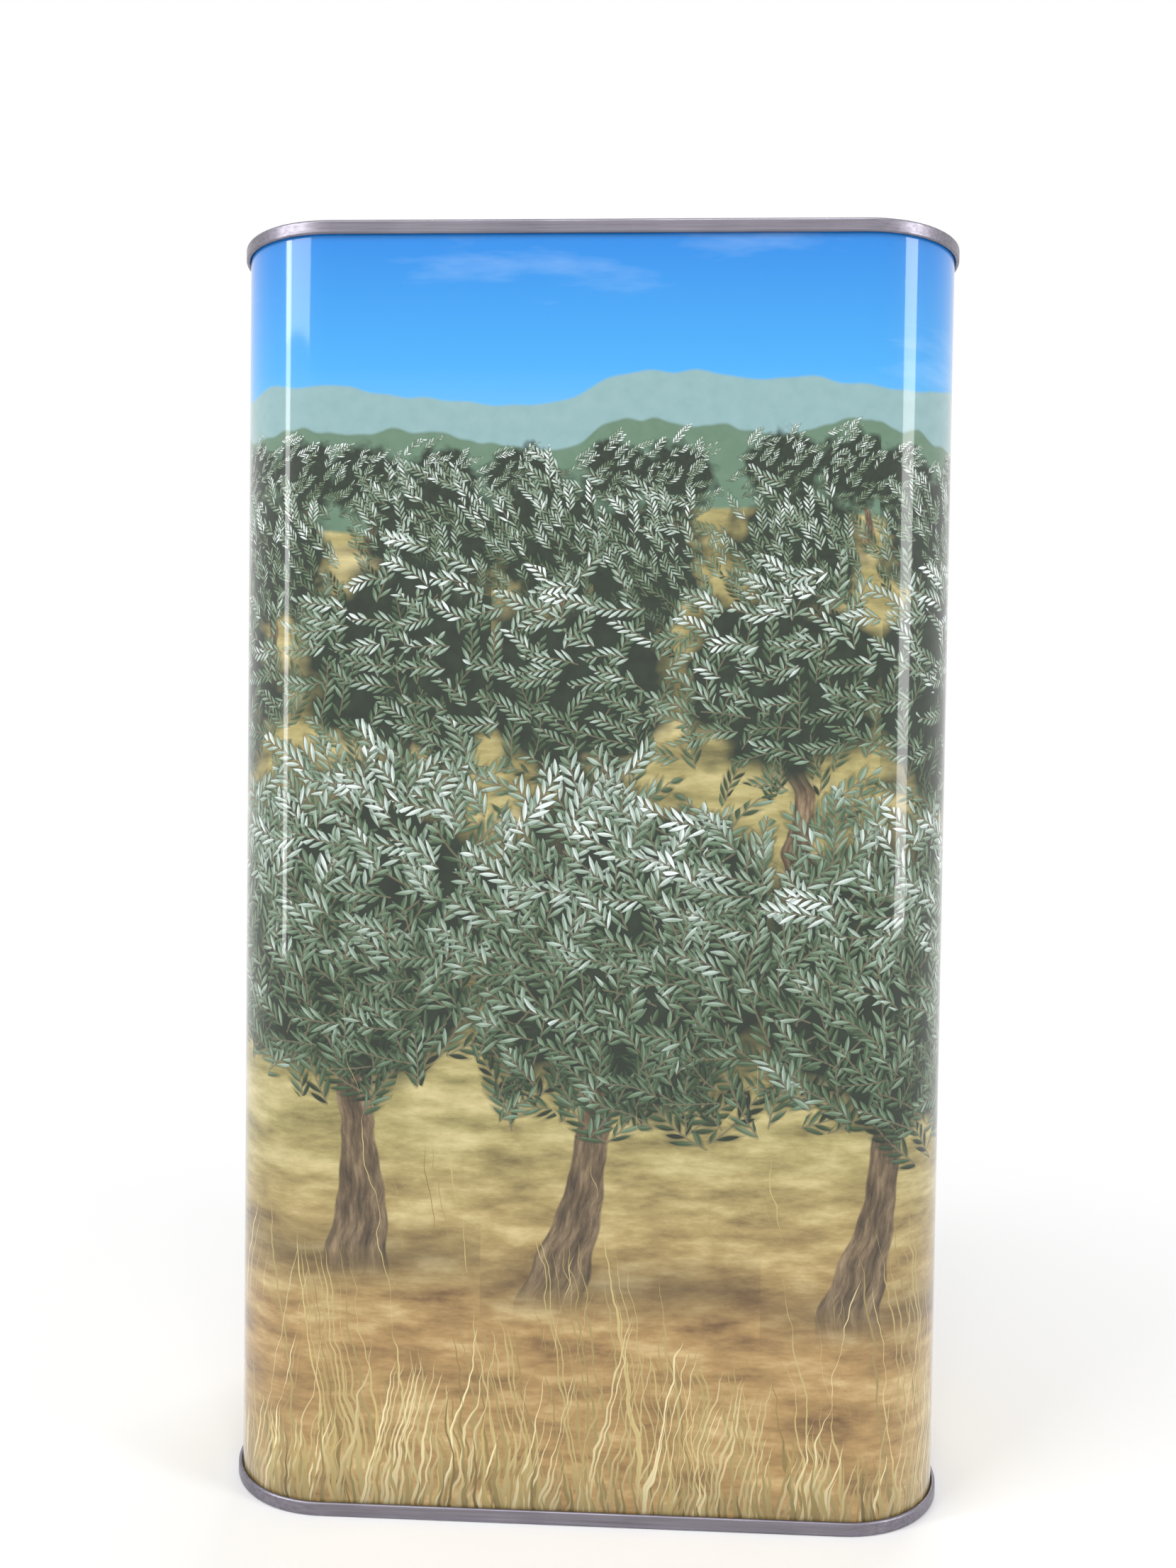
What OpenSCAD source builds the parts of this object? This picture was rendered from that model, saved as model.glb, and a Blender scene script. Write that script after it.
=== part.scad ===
// Rectangular three litre olive oil tin with a pull-out pouring spout and a folding wire handle.
// Millimetres, +Z up. The origin is the centre of the base, and the printed front faces -Y.

/* [Tin] */
// Width over the seams, left to right
tin_w = 148; // [143:1:190]
// Depth over the seams, front to back
tin_d = 88; // [82:1:120]
// Height over both seams
tin_h = 257; // [120:1:320]
// Outer corner radius of the seams, seen from above
rim_r = 22; // [16:0.5:28]

/* [Plate and double seams] */
// Thickness of the tinplate
plate_t = 0.28; // [0.22:0.01:0.36]
// Room left between two layers of plate in a seam
seam_gap = 0.02; // [0.01:0.01:0.04]
// Height of each double seam
seam_h = 2.8; // [2.6:0.1:3.4]
// Outer bend radius of the seam's outer top edge
seam_edge_r = 0.55; // [0.5:0.05:0.65]
// Outer bend radius of the seam's inner top edge
seam_inner_r = 0.5; // [0.45:0.05:0.6]
// Thickness of the compound over the body hook
compound_t = 0.12; // [0.08:0.02:0.2]
// Room left at the tip of each hook
hook_room = 0.2; // [0.15:0.05:0.3]
// Width of the weld down the left side of the body
weld_w = 0.9; // [0.6:0.1:1.5]
// Height of the weld above the plate
weld_proud = 0.08; // [0.05:0.01:0.15]

/* [Ends] */
// Depth of the centre panel below the rim
end_recess = 5; // [4.5:0.1:6]
// Depth of the groove's floor below the ledge round the panel
groove_depth = 1.8; // [1.6:0.1:2.6]
// Outer bend radius at the groove's floor
groove_r = 1.2; // [1:0.1:1.4]
// Outer bend radius where the groove meets the ledge
ledge_edge_r = 0.6; // [0.5:0.05:0.8]
// Width of the flat ledge round the centre panel
ledge_w = 2.4; // [1.5:0.1:3]
// Height of the step from the ledge up to the centre panel
step_h = 0.6; // [0.4:0.1:0.9]
// Width of the sloping step
step_run = 1.2; // [0.8:0.1:1.6]

/* [Neck] */
// Distance of the spout's axis from the right end of the tin
spout_inset = 30; // [29:0.5:31]
// Inner radius of the drawn neck
neck_r = 17.6; // [17.5:0.05:17.9]
// Height of the curled neck above the centre panel
neck_h = 4.4; // [4.2:0.1:4.6]
// Bend radius inside the root of the neck
neck_root_r = 1; // [0.6:0.1:1.2]
// Outer radius of the curl round the top of the neck
curl_r = 1.3; // [1.1:0.05:1.4]
// Thickness of the gasket on the curl
gasket_t = 0.8; // [0.5:0.1:1.2]
// Distance of the gasket's edges inside the curl's width
gasket_inset = 0.2; // [0.1:0.05:0.4]

/* [Collar] */
// Radius of the well that the cap sits in
well_r = 16.2; // [15.9:0.05:16.3]
// Thickness of the collar's wall, skirt and flange
collar_t = 1.2; // [1:0.05:1.25]
// Gap between the curl and the collar's skirt
skirt_gap = 0.3; // [0.15:0.05:0.5]
// Gap between the collar's skirt and the panel
skirt_lift = 0.3; // [0.2:0.05:0.5]
// Inward reach of the snap bead under the curl
snap_reach = 1; // [0.6:0.1:1.2]
// Height of the snap bead
snap_h = 0.9; // [0.6:0.1:1]
// Length of the bore that guides the spout
guide_h = 5; // [4:0.5:8]

/* [Spout] */
// Outer radius of the spout tube
tube_r = 11.6; // [11.2:0.1:11.8]
// Wall of the spout tube
tube_t = 1.3; // [1:0.1:1.6]
// Running clearance of the tube in the collar, on radius
tube_play = 0.08; // [0.03:0.01:0.1]
// Distance that the spout pulls out
pull_travel = 20; // [12:1:30]
// Radial height of the stops above and below the guide
stop_reach = 1.6; // [1.2:0.1:2]
// Thickness of each stop
stop_t = 1.2; // [0.8:0.1:2]
// Gap left at each stop
stop_gap = 0.05; // [0.03:0.01:0.1]
// Thickness of the thin pouring lip
lip_t = 0.6; // [0.4:0.1:0.9]
// Height of the pouring lip above the thread
lip_h = 1; // [0.8:0.1:1.4]

/* [Thread] */
// Rise of the thread in one turn
thread_lead = 4; // [3.6:0.1:4.2]
// Turns of the ridge on the spout
thread_turns = 1.1; // [0.9:0.05:1.15]
// Radial height of the ridge on the spout
thread_h = 1.1; // [0.9:0.05:1.2]
// Width of a ridge at its root
ridge_root_w = 1.8; // [1.5:0.1:2]
// Width of a ridge at its crest
ridge_crest_w = 0.8; // [0.6:0.1:1]
// Clearance between the two ridges, along the axis
thread_play = 0.2; // [0.1:0.05:0.3]
// Radial gap between a ridge's crest and the wall it faces
crest_gap = 0.6; // [0.5:0.05:0.7]

/* [Cap] */
// Outer radius of the cap over its ribs
cap_r = 15.1; // [14.9:0.05:15.4]
// Height of the cap
cap_h = 11; // [10.6:0.1:12]
// Thickness of the cap's top
cap_top_t = 1.6; // [1.2:0.1:2]
// Height of the cap above the collar
cap_proud = 2.8; // [2:0.1:4]
// Number of gripping ribs round the cap
rib_count = 48; // [24:2:60]
// Depth of the grooves between the ribs
rib_depth = 0.4; // [0.2:0.05:0.5]
// Width of the plain bevel round the cap's top
cap_bevel = 0.8; // [0.4:0.1:1.2]
// Thickness of the sealing wad
liner_t = 1; // [0.8:0.1:1.5]
// Radial clearance of the wad in the cap
liner_play = 0.1; // [0.05:0.05:0.2]

/* [Tamper band] */
// Height of the band
band_h = 1.4; // [1:0.1:2]
// Radial thickness of the band
band_t = 2.6; // [1.6:0.1:2.8]
// Gap between the cap and the band, and round the band's inside
band_gap = 0.3; // [0.2:0.05:0.5]
// Radial height of the bead that keeps the band on the spout
bead_reach = 0.8; // [0.6:0.05:1]
// Height of that bead
bead_h = 0.6; // [0.4:0.1:0.8]

/* [Handle] */
// Distance of the handle's left leg from the left end of the tin
handle_inset = 11; // [10:0.5:12]
// Gap between the handle's right leg and the spout's collar
handle_gap = 7.55; // [5:0.05:14]
// Reach of the handle from its pins to its crossbar
handle_reach = 33; // [26:1:34]
// Radius of the wire
wire_r = 1.75; // [1.5:0.05:1.9]
// Bend radius between a leg and the crossbar
bar_bend_r = 6; // [5:0.5:9]
// Bend radius between a leg and its pin
pin_bend_r = 4; // [3:0.5:5]
// Length of each straight pin
pin_l = 11; // [10:0.5:12]
// Running clearance of a pin in its saddle, on radius
pin_play = 0.05; // [0.03:0.01:0.1]
// Gap between a lying pin and the panel
pin_lift = 0.1; // [0.05:0.05:0.2]
// Outer radius of the grip
grip_r = 3.9; // [3:0.1:4.2]
// Distance of each end of the grip from the bend of the wire
grip_end_gap = 5; // [2:0.5:10]
// Clearance of the grip on the wire, on radius
grip_play = 0.04; // [0.02:0.01:0.1]
// Gap under the grip when the handle lies flat
grip_lift = 0.3; // [0.2:0.05:0.5]
// Number of ribs on the grip
grip_ribs = 7; // [3:2:9]
// Width of each rib on the grip
grip_rib_w = 3; // [2:0.5:4]
// Depth of the grip's waist between its ribs
grip_waist = 0.5; // [0.3:0.1:0.8]

/* [Saddles] */
// Width of a saddle along its pin
saddle_w = 8; // [6:0.5:9]
// Thickness of a saddle's strip
saddle_t = 0.6; // [0.4:0.05:0.8]
// Length of each welded foot beyond the arch
foot_l = 5.5; // [4:0.5:7]
// Gap between a saddle and the bend of the wire
saddle_gap = 0.5; // [0.3:0.1:1]

/* [Hidden] */
$fn = 72;
// Overrun of a cutting solid past what it cuts
cut = 1;

// Places across the seam, measured outward from the body wall's outer face
layer = plate_t + seam_gap;
overhang = 3 * layer;
chuck_s = -plate_t - layer;
cover_hook_s = seam_gap;
body_hook_s = seam_gap + layer;
seaming_wall_s = overhang - plate_t;
hook_bend_r = (3 * plate_t + 2 * seam_gap) / 2;

// Plan of the tin
wall_r = rim_r - overhang;
flat_w = tin_w - 2 * rim_r;
flat_d = tin_d - 2 * rim_r;

// Heights below the rim
hook_bend_z = -(plate_t + compound_t + hook_bend_r);
cover_bend_z = -(seam_h - hook_bend_r);
cover_hook_top = hook_bend_z - hook_room;
body_hook_tip = cover_bend_z + hook_room;
ledge_z = -(end_recess + step_h);
groove_bend_z = ledge_z - groove_depth - plate_t + groove_r;
groove_s = -layer - groove_r;
ledge_edge_s = groove_s - groove_r + plate_t - ledge_edge_r;
step_s = ledge_edge_s - ledge_w;
panel_s = step_s - step_run;

// Heights above the base
panel_z = tin_h - end_recess;
curl_z = panel_z + neck_h - curl_r;
gasket_z = panel_z + neck_h;
flange_z = gasket_z + gasket_t;
flange_top = flange_z + collar_t;
cap_top = flange_top + cap_proud;
cap_z = cap_top - cap_h;
liner_z = cap_top - cap_top_t - liner_t;
mouth_z = liner_z;
band_z = cap_z - band_gap - band_h;
shoulder_z = band_z - stop_gap - stop_t;
floor_z = shoulder_z - stop_gap;
guide_z = floor_z - guide_h;
tube_foot_z = guide_z - pull_travel - stop_gap - stop_t;

// Collar, spout and cap across their axis
spout_x = tin_w / 2 - spout_inset;
skirt_r = neck_r + 2 * curl_r + skirt_gap;
collar_r = skirt_r + collar_t;
guide_r = tube_r + tube_play;
bore_r = tube_r - tube_t;
crest_r = tube_r + thread_h;
cap_inner_r = crest_r + crest_gap;
cap_crest_r = tube_r + crest_gap;
liner_r = cap_inner_r - liner_play;

// Helix of both ridges. They share one lead, and the cap's lies below the spout's. Each fades in from a
// share of its height over an angle, with its root sunk in the wall.
ridge_steps = 40;
ridge_sink = 0.3;
ridge_taper = 30;
ridge_start = 0.25;
cap_ridge_start = 120;
spout_ridge_z = mouth_z - lip_h - ridge_root_w / 2 - thread_turns * thread_lead;
ridge_slope = (ridge_root_w - ridge_crest_w) / (cap_inner_r - cap_crest_r) / 2;
meeting_w = ridge_crest_w + ridge_slope * (crest_r - cap_crest_r);
cap_ridge_drop = meeting_w + thread_play;

// Handle, between the left end of the tin and the collar
left_leg_x = -tin_w / 2 + handle_inset;
right_leg_x = spout_x - collar_r - handle_gap - wire_r;
handle_span = right_leg_x - left_leg_x;
handle_x = (left_leg_x + right_leg_x) / 2;
bar_l = handle_span - 2 * bar_bend_r;
grip_l = bar_l - 2 * grip_end_gap;
hinge_z = panel_z + pin_lift + wire_r;
handle_tilt = asin((grip_r + grip_lift - wire_r - pin_lift) / handle_reach);
saddle_r = wire_r + pin_play;
saddle_x = handle_span / 2 - pin_bend_r - saddle_gap - saddle_w / 2;

printed = "#5b86a8";
pewter = "#77737c";
ivory = "#ece7d6";
green = "#2f5d33";
rubber = "#8d8b86";

// Sweeps an outline once round the tin. Its x is the distance outward from the wall, its y is the height.
module round_the_tin() {
    for (side = [0 : 3]) {
        across = side % 2 == 0 ? flat_w : flat_d;
        along = side % 2 == 0 ? flat_d : flat_w;
        rotate([0, 0, 90 * side]) {
            translate([across / 2 + wall_r, 0, 0])
                rotate([90, 0, 0])
                    linear_extrude(height = along, center = true) children();
            translate([across / 2, along / 2, 0])
                rotate_extrude(angle = 90) translate([wall_r, 0]) children();
        }
    }
}

// Flat plate with the tin's rounded plan, its edge at a distance s outward from the wall
module plan_plate(s, thickness) {
    r = wall_r + s;
    linear_extrude(height = thickness) {
        square([flat_w + 2 * r, flat_d], center = true);
        square([flat_w, flat_d + 2 * r], center = true);
        for (x = [-1, 1], y = [-1, 1]) translate([x * flat_w / 2, y * flat_d / 2]) circle(r);
    }
}

// Quarter bend of plate in an outline, with the side that it bends towards given by two signs
module quarter_bend(r, sx, sy) {
    intersection() {
        difference() {
            circle(r);
            circle(r - plate_t);
        }
        translate([sx < 0 ? -r : 0, sy < 0 ? -r : 0]) square(r);
    }
}

// Upper (+1) or lower (-1) half of a full bend of plate
module half_bend(r, sy) {
    quarter_bend(r, -1, sy);
    quarter_bend(r, 1, sy);
}

// Upright strip of plate in an outline, from a low to a high place
module upright(s, low, high) translate([s, low]) square([plate_t, high - low]);

// Body hook at the top of the wall: out over a bend and down
module body_hook_outline() {
    translate([layer - plate_t / 2, hook_bend_z]) half_bend(hook_bend_r, 1);
    upright(body_hook_s, body_hook_tip, hook_bend_z);
}

// End from its cover hook over the rim, down the chuck wall, through the groove and up to the panel
module end_outline() {
    upright(cover_hook_s, cover_bend_z, cover_hook_top);
    translate([cover_hook_s + hook_bend_r, cover_bend_z]) half_bend(hook_bend_r, -1);
    upright(seaming_wall_s, cover_bend_z, -seam_edge_r);
    translate([overhang - seam_edge_r, -seam_edge_r]) quarter_bend(seam_edge_r, 1, 1);
    translate([chuck_s + seam_inner_r, -plate_t])
        square([overhang - seam_edge_r - chuck_s - seam_inner_r, plate_t]);
    translate([chuck_s + seam_inner_r, -seam_inner_r]) quarter_bend(seam_inner_r, -1, 1);
    upright(chuck_s, groove_bend_z, -seam_inner_r);
    translate([groove_s, groove_bend_z]) half_bend(groove_r, -1);
    upright(groove_s - groove_r, groove_bend_z, ledge_z - ledge_edge_r);
    translate([ledge_edge_s, ledge_z - ledge_edge_r]) quarter_bend(ledge_edge_r, 1, 1);
    translate([step_s, ledge_z - plate_t]) square([ledge_w, plate_t]);
    polygon([
        [step_s, ledge_z], [panel_s, -end_recess],
        [panel_s, -end_recess - plate_t], [step_s, ledge_z - plate_t]
    ]);
}

// Compound squeezed between the body hook and the end's rim
module compound_outline() {
    edge_in = seam_edge_r - plate_t;
    inner_in = seam_inner_r - plate_t;
    edge_s = overhang - seam_edge_r;
    inner_s = chuck_s + seam_inner_r;
    low = max(-seam_edge_r, hook_bend_z);
    difference() {
        union() {
            translate([edge_s, -seam_edge_r]) circle(edge_in);
            translate([inner_s, -seam_inner_r]) circle(inner_in);
            translate([inner_s, low]) square([edge_s - inner_s, -plate_t - low]);
        }
        translate([layer - plate_t / 2, hook_bend_z]) circle(hook_bend_r);
        translate([-overhang, hook_bend_z - overhang]) square([3 * overhang, overhang]);
    }
}

// Stamped end, its rim at z = 0 and its panel below
module stamped_end() {
    round_the_tin() end_outline();
    translate([0, 0, -end_recess - plate_t]) plan_plate(panel_s, plate_t);
}

module body_shell() color(printed) {
    round_the_tin() {
        upright(-plate_t, -hook_bend_z, tin_h + hook_bend_z);
        translate([0, tin_h]) body_hook_outline();
        mirror([0, 1]) body_hook_outline();
    }
    translate([-tin_w / 2 + overhang - weld_proud, -weld_w / 2, seam_h])
        cube([weld_proud + plate_t / 2, weld_w, tin_h - 2 * seam_h]);
}

// Outline of the drawn neck and its curl, round the spout's axis
module neck_outline() {
    translate([neck_r + plate_t + neck_root_r, neck_root_r]) quarter_bend(neck_root_r + plate_t, -1, -1);
    translate([neck_r, neck_root_r]) square([plate_t, neck_h - curl_r - neck_root_r]);
    translate([neck_r + curl_r, neck_h - curl_r]) {
        half_bend(curl_r, 1);
        quarter_bend(curl_r, 1, -1);
    }
}

module top_end() color(pewter) {
    difference() {
        translate([0, 0, tin_h]) stamped_end();
        translate([spout_x, 0, panel_z - 2 * plate_t])
            cylinder(r = neck_r + plate_t + neck_root_r, h = 4 * plate_t);
    }
    translate([spout_x, 0, panel_z]) rotate_extrude() neck_outline();
}

module bottom_end() color(pewter) mirror([0, 0, 1]) stamped_end();

module top_compound() color(rubber) translate([0, 0, tin_h]) round_the_tin() compound_outline();

module bottom_compound() color(rubber) mirror([0, 0, 1]) round_the_tin() compound_outline();

// Plain ring round the spout's axis
module ring(low, height, inner, outer) {
    translate([spout_x, 0, low]) difference() {
        cylinder(r = outer, h = height);
        translate([0, 0, -cut]) cylinder(r = inner, h = height + 2 * cut);
    }
}

module neck_gasket() color(rubber)
    ring(gasket_z, gasket_t, neck_r + gasket_inset, neck_r + 2 * curl_r - gasket_inset);

module spout_collar() color(ivory) {
    skirt_z = panel_z + skirt_lift;
    ring(flange_z, collar_t, well_r, collar_r);
    ring(skirt_z, flange_z - skirt_z, skirt_r, collar_r);
    ring(skirt_z, snap_h, skirt_r - snap_reach, skirt_r);
    ring(floor_z, flange_z - floor_z, well_r, well_r + collar_t);
    ring(floor_z - collar_t, collar_t, guide_r, well_r + collar_t);
    ring(guide_z, guide_h - collar_t, guide_r, guide_r + collar_t);
}

// One ring of a ridge's outline at an angle along its helix. Four points: two at its root, two at its crest.
function ridge_ring(angle, z, root, crest) = [
    for (p = [
        [root, -ridge_root_w / 2], [crest, -ridge_crest_w / 2],
        [crest, ridge_crest_w / 2], [root, ridge_root_w / 2]
    ]) [p[0] * cos(angle), p[0] * sin(angle), z + p[1]]
];

// Helical ridge from a root radius to a crest radius, fading out at both ends
module helical_ridge(root, crest, start_angle, start_z, turns) {
    count = ceil(turns * ridge_steps);
    sweep = turns * 360;
    sides = root < crest ? [0, 1, 2, 3] : [3, 2, 1, 0];
    points = [
        for (i = [0 : count])
            let (
                turned = i * sweep / count,
                end = min(turned, sweep - turned),
                full = min(1, ridge_start + end / ridge_taper),
                ring = ridge_ring(start_angle + turned, start_z + turned / 360 * thread_lead,
                    root, root + (crest - root) * full)
            )
            for (k = sides) ring[k]
    ];
    skin = [
        for (i = [0 : count - 1], k = [0 : 3])
            let (a = 4 * i + k, b = 4 * i + (k + 1) % 4)
            each [[a, b, b + 4], [a, b + 4, a + 4]]
    ];
    last = 4 * count;
    ends = [[2, 1, 0], [3, 2, 0], [last, last + 1, last + 2], [last, last + 2, last + 3]];
    polyhedron(points, concat(skin, ends));
}

module spout_tube() color(ivory) {
    stop_r = tube_r + stop_reach;
    lip_r = bore_r + lip_t;
    bead_z = cap_z - band_gap / 2;
    difference() {
        union() {
            translate([spout_x, 0, tube_foot_z]) cylinder(r = tube_r, h = mouth_z - lip_h - tube_foot_z);
            translate([spout_x, 0, mouth_z - lip_h]) cylinder(r1 = tube_r, r2 = lip_r, h = lip_h);
            translate([spout_x, 0, tube_foot_z]) cylinder(r = stop_r, h = stop_t);
            translate([spout_x, 0, shoulder_z]) cylinder(r = stop_r, h = stop_t);
            translate([spout_x, 0, bead_z]) cylinder(r1 = tube_r + bead_reach, r2 = tube_r, h = bead_h);
        }
        translate([spout_x, 0, tube_foot_z - cut]) cylinder(r = bore_r, h = mouth_z - tube_foot_z + 2 * cut);
    }
    translate([spout_x, 0, 0])
        helical_ridge(tube_r - ridge_sink, crest_r, 0, spout_ridge_z, thread_turns);
}

module tamper_band() color(green)
    ring(band_z, band_h, tube_r + band_gap, tube_r + band_gap + band_t);

module cap_liner() color("#d9d6cc") translate([spout_x, 0, liner_z]) cylinder(r = liner_r, h = liner_t);

// Plan of the cap's ribbed side: each rib has a flank, a flat top and a flank, and then comes a flat groove.
// The shares are of one pitch.
module ribbed_plan() {
    pitch = 360 / rib_count;
    flank = 0.2;
    rib_top = 0.4;
    root_r = cap_r - rib_depth;
    rib = [[0, root_r], [flank, cap_r], [flank + rib_top, cap_r], [2 * flank + rib_top, root_r]];
    polygon([
        for (i = [0 : rib_count - 1])
            for (p = rib)
                let (a = (i + p[0]) * pitch)
                p[1] * [cos(a), sin(a)]
    ]);
}

module screw_cap() color(green) {
    ribs_h = cap_h - cap_bevel;
    inner_h = cap_h - cap_top_t;
    translate([spout_x, 0, cap_z]) difference() {
        union() {
            linear_extrude(height = ribs_h) ribbed_plan();
            translate([0, 0, ribs_h])
                cylinder(r1 = cap_r - rib_depth, r2 = cap_r - rib_depth - cap_bevel, h = cap_bevel);
        }
        translate([0, 0, -cut]) cylinder(r = cap_inner_r, h = inner_h + cut);
    }
    cap_ridge_z = spout_ridge_z - cap_ridge_drop + cap_ridge_start / 360 * thread_lead;
    translate([spout_x, 0, 0])
        helical_ridge(cap_inner_r + ridge_sink, cap_crest_r, cap_ridge_start, cap_ridge_z, thread_turns);
}

// Puts what is drawn lying along +Y in its place on the hinge, resting on the panel
module on_the_hinge() translate([handle_x, 0, hinge_z]) rotate([handle_tilt, 0, 0]) children();

// Half of the wire: pin, bend, leg and bend, on the +X side
module wire_half() {
    leg_x = handle_span / 2;
    translate([leg_x - pin_bend_r - pin_l, 0, 0]) rotate([0, 90, 0]) cylinder(r = wire_r, h = pin_l);
    translate([leg_x - pin_bend_r, pin_bend_r, 0])
        rotate([0, 0, -90]) rotate_extrude(angle = 90) translate([pin_bend_r, 0]) circle(wire_r);
    translate([leg_x, pin_bend_r, 0])
        rotate([-90, 0, 0]) cylinder(r = wire_r, h = handle_reach - pin_bend_r - bar_bend_r);
    translate([leg_x - bar_bend_r, handle_reach - bar_bend_r, 0])
        rotate_extrude(angle = 90) translate([bar_bend_r, 0]) circle(wire_r);
}

module handle_wire() color(pewter) on_the_hinge() {
    wire_half();
    mirror([1, 0, 0]) wire_half();
    translate([-bar_l / 2, handle_reach, 0]) rotate([0, 90, 0]) cylinder(r = wire_r, h = bar_l);
}

// Sleeve with a waist, and ribs along it at an even pitch
module handle_grip() color(ivory) on_the_hinge() {
    pitch = (grip_l - grip_rib_w) / (grip_ribs - 1);
    translate([-grip_l / 2, handle_reach, 0]) rotate([0, 90, 0]) difference() {
        union() {
            cylinder(r = grip_r - grip_waist, h = grip_l);
            for (i = [0 : grip_ribs - 1]) translate([0, 0, i * pitch]) cylinder(r = grip_r, h = grip_rib_w);
        }
        translate([0, 0, -cut]) cylinder(r = wire_r + grip_play, h = grip_l + 2 * cut);
    }
}

// Strip arched over a pin, with a foot each side that is spot-welded to the panel
module saddle() {
    pin_h = hinge_z - panel_z;
    arch_r = saddle_r + saddle_t;
    rotate([90, 0, 90]) linear_extrude(height = saddle_w, center = true) difference() {
        union() {
            translate([0, pin_h]) circle(arch_r);
            translate([-arch_r, 0]) square([2 * arch_r, pin_h]);
            translate([-arch_r - foot_l, 0]) square([2 * (arch_r + foot_l), saddle_t]);
        }
        translate([0, pin_h]) circle(saddle_r);
        translate([-saddle_r, -cut]) square([2 * saddle_r, pin_h + cut]);
        translate([-arch_r, -2 * arch_r]) square([2 * arch_r, 2 * arch_r]);
    }
}

module ear_left() color(pewter) translate([handle_x - saddle_x, 0, panel_z]) saddle();

module ear_right() color(pewter) translate([handle_x + saddle_x, 0, panel_z]) saddle();

body_shell();
top_end();
bottom_end();
top_compound();
bottom_compound();
neck_gasket();
spout_collar();
spout_tube();
tamper_band();
cap_liner();
screw_cap();
handle_wire();
handle_grip();
ear_left();
ear_right();
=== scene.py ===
# %% [markdown]
# # A rectangular olive oil tin with a pull-out spout
#
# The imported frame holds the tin's real pieces at their real sizes. This lesson dresses them: it makes
# the printed body wall, gives each piece the finish of its material, and sets the light and the
# camera. Lengths in the comments are in millimetres, and Blender's own unit is the metre.

import math
from functools import partial

import bpy
from mathutils import Matrix, Vector, noise


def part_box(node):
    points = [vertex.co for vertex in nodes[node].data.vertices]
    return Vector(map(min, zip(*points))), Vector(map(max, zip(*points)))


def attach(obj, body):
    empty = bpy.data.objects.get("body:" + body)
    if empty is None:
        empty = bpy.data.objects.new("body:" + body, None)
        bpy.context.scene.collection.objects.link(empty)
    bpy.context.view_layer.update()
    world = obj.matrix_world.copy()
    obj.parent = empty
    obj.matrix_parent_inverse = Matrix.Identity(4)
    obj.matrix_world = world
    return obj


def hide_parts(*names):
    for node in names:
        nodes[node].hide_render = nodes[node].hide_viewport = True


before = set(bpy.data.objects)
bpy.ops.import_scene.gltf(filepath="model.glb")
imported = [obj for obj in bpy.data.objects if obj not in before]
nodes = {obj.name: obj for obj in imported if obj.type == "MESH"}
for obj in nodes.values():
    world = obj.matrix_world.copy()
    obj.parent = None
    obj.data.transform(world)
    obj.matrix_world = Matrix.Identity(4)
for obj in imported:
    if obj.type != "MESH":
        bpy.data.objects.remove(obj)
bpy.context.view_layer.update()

# %% Units and colours
MM = 0.001


def colour(text):
    """The linear colour that the shaders take, from an sRGB hex value."""
    shares = [int(text[i : i + 2], 16) / 255 for i in (1, 3, 5)]
    return [s / 12.92 if s <= 0.04045 else ((s + 0.055) / 1.055) ** 2.4 for s in shares] + [1.0]


print("a middle grey of #808080 is", round(colour("#808080")[0], 3), "in linear light")

# %% [markdown]
# Every finish is a small network of shader nodes. One function adds a node, sets its fields and
# plugs in what it is given, whether that is a number, a colour or another node's output. The parts
# of a vector are read by dot products with the axes.

# %% One function for every node
X_AXIS, Y_AXIS, Z_AXIS = (1, 0, 0), (0, 1, 0), (0, 0, 1)
# a Mix node for colours takes its share at socket 0 and its two colours at sockets 6 and 7
MIX_COLOURS = {"out": 2, "data_type": "RGBA"}


def add(tree, kind, *inputs, out=0, stops=(), **settings):
    """Adds a node and returns one of its outputs. A colon in the kind names its operation. The stops are
    a colour ramp's, its two ends first, each with a position and a hex value."""
    name, _, operation = kind.partition(":")
    made = tree.nodes.new("ShaderNode" + name)
    if operation:
        made.operation = operation
    for field, value in settings.items():
        setattr(made, field, value)
    for number, (at, text) in enumerate(stops):
        elements = made.color_ramp.elements
        stop = elements[number] if number < 2 else elements.new(at)
        stop.position, stop.color = at, colour(text)
    plugs = inputs[0] if inputs and isinstance(inputs[0], dict) else dict(enumerate(inputs))
    for socket, value in plugs.items():
        if isinstance(value, bpy.types.NodeSocket):
            tree.links.new(value, made.inputs[socket])
        else:
            made.inputs[socket].default_value = value
    return made.outputs[out]


def plug_in(tree, sockets, outputs):
    """Links each output to the socket of its name."""
    for name, output in outputs.items():
        tree.links.new(output, sockets[name])


def new_finish(name, numbers):
    """A material with one Principled shader, whose plain numbers sit on its own sockets."""
    material = bpy.data.materials.new(name)
    material.use_nodes = True
    sockets = material.node_tree.nodes["Principled BSDF"].inputs
    for socket, value in numbers.items():
        sockets[socket].default_value = value
    return material, material.node_tree, sockets


# %% [markdown]
# The body of the real tin is one printed sheet, rolled into a rounded rectangle and welded down a
# narrow side. Thin plate never stays quite flat: the faces bow by a few tenths of a millimetre, and
# that is what makes a reflection on a tin wander. The wall is therefore built here as its own
# mesh, one column of points after another round the plan, with the distance walked round the tin
# kept as the print's map, so that the design runs unbroken round the corners. A bump in the material
# could fake the bow, but it would leave the tin's outline and its mesh dead straight.

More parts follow.
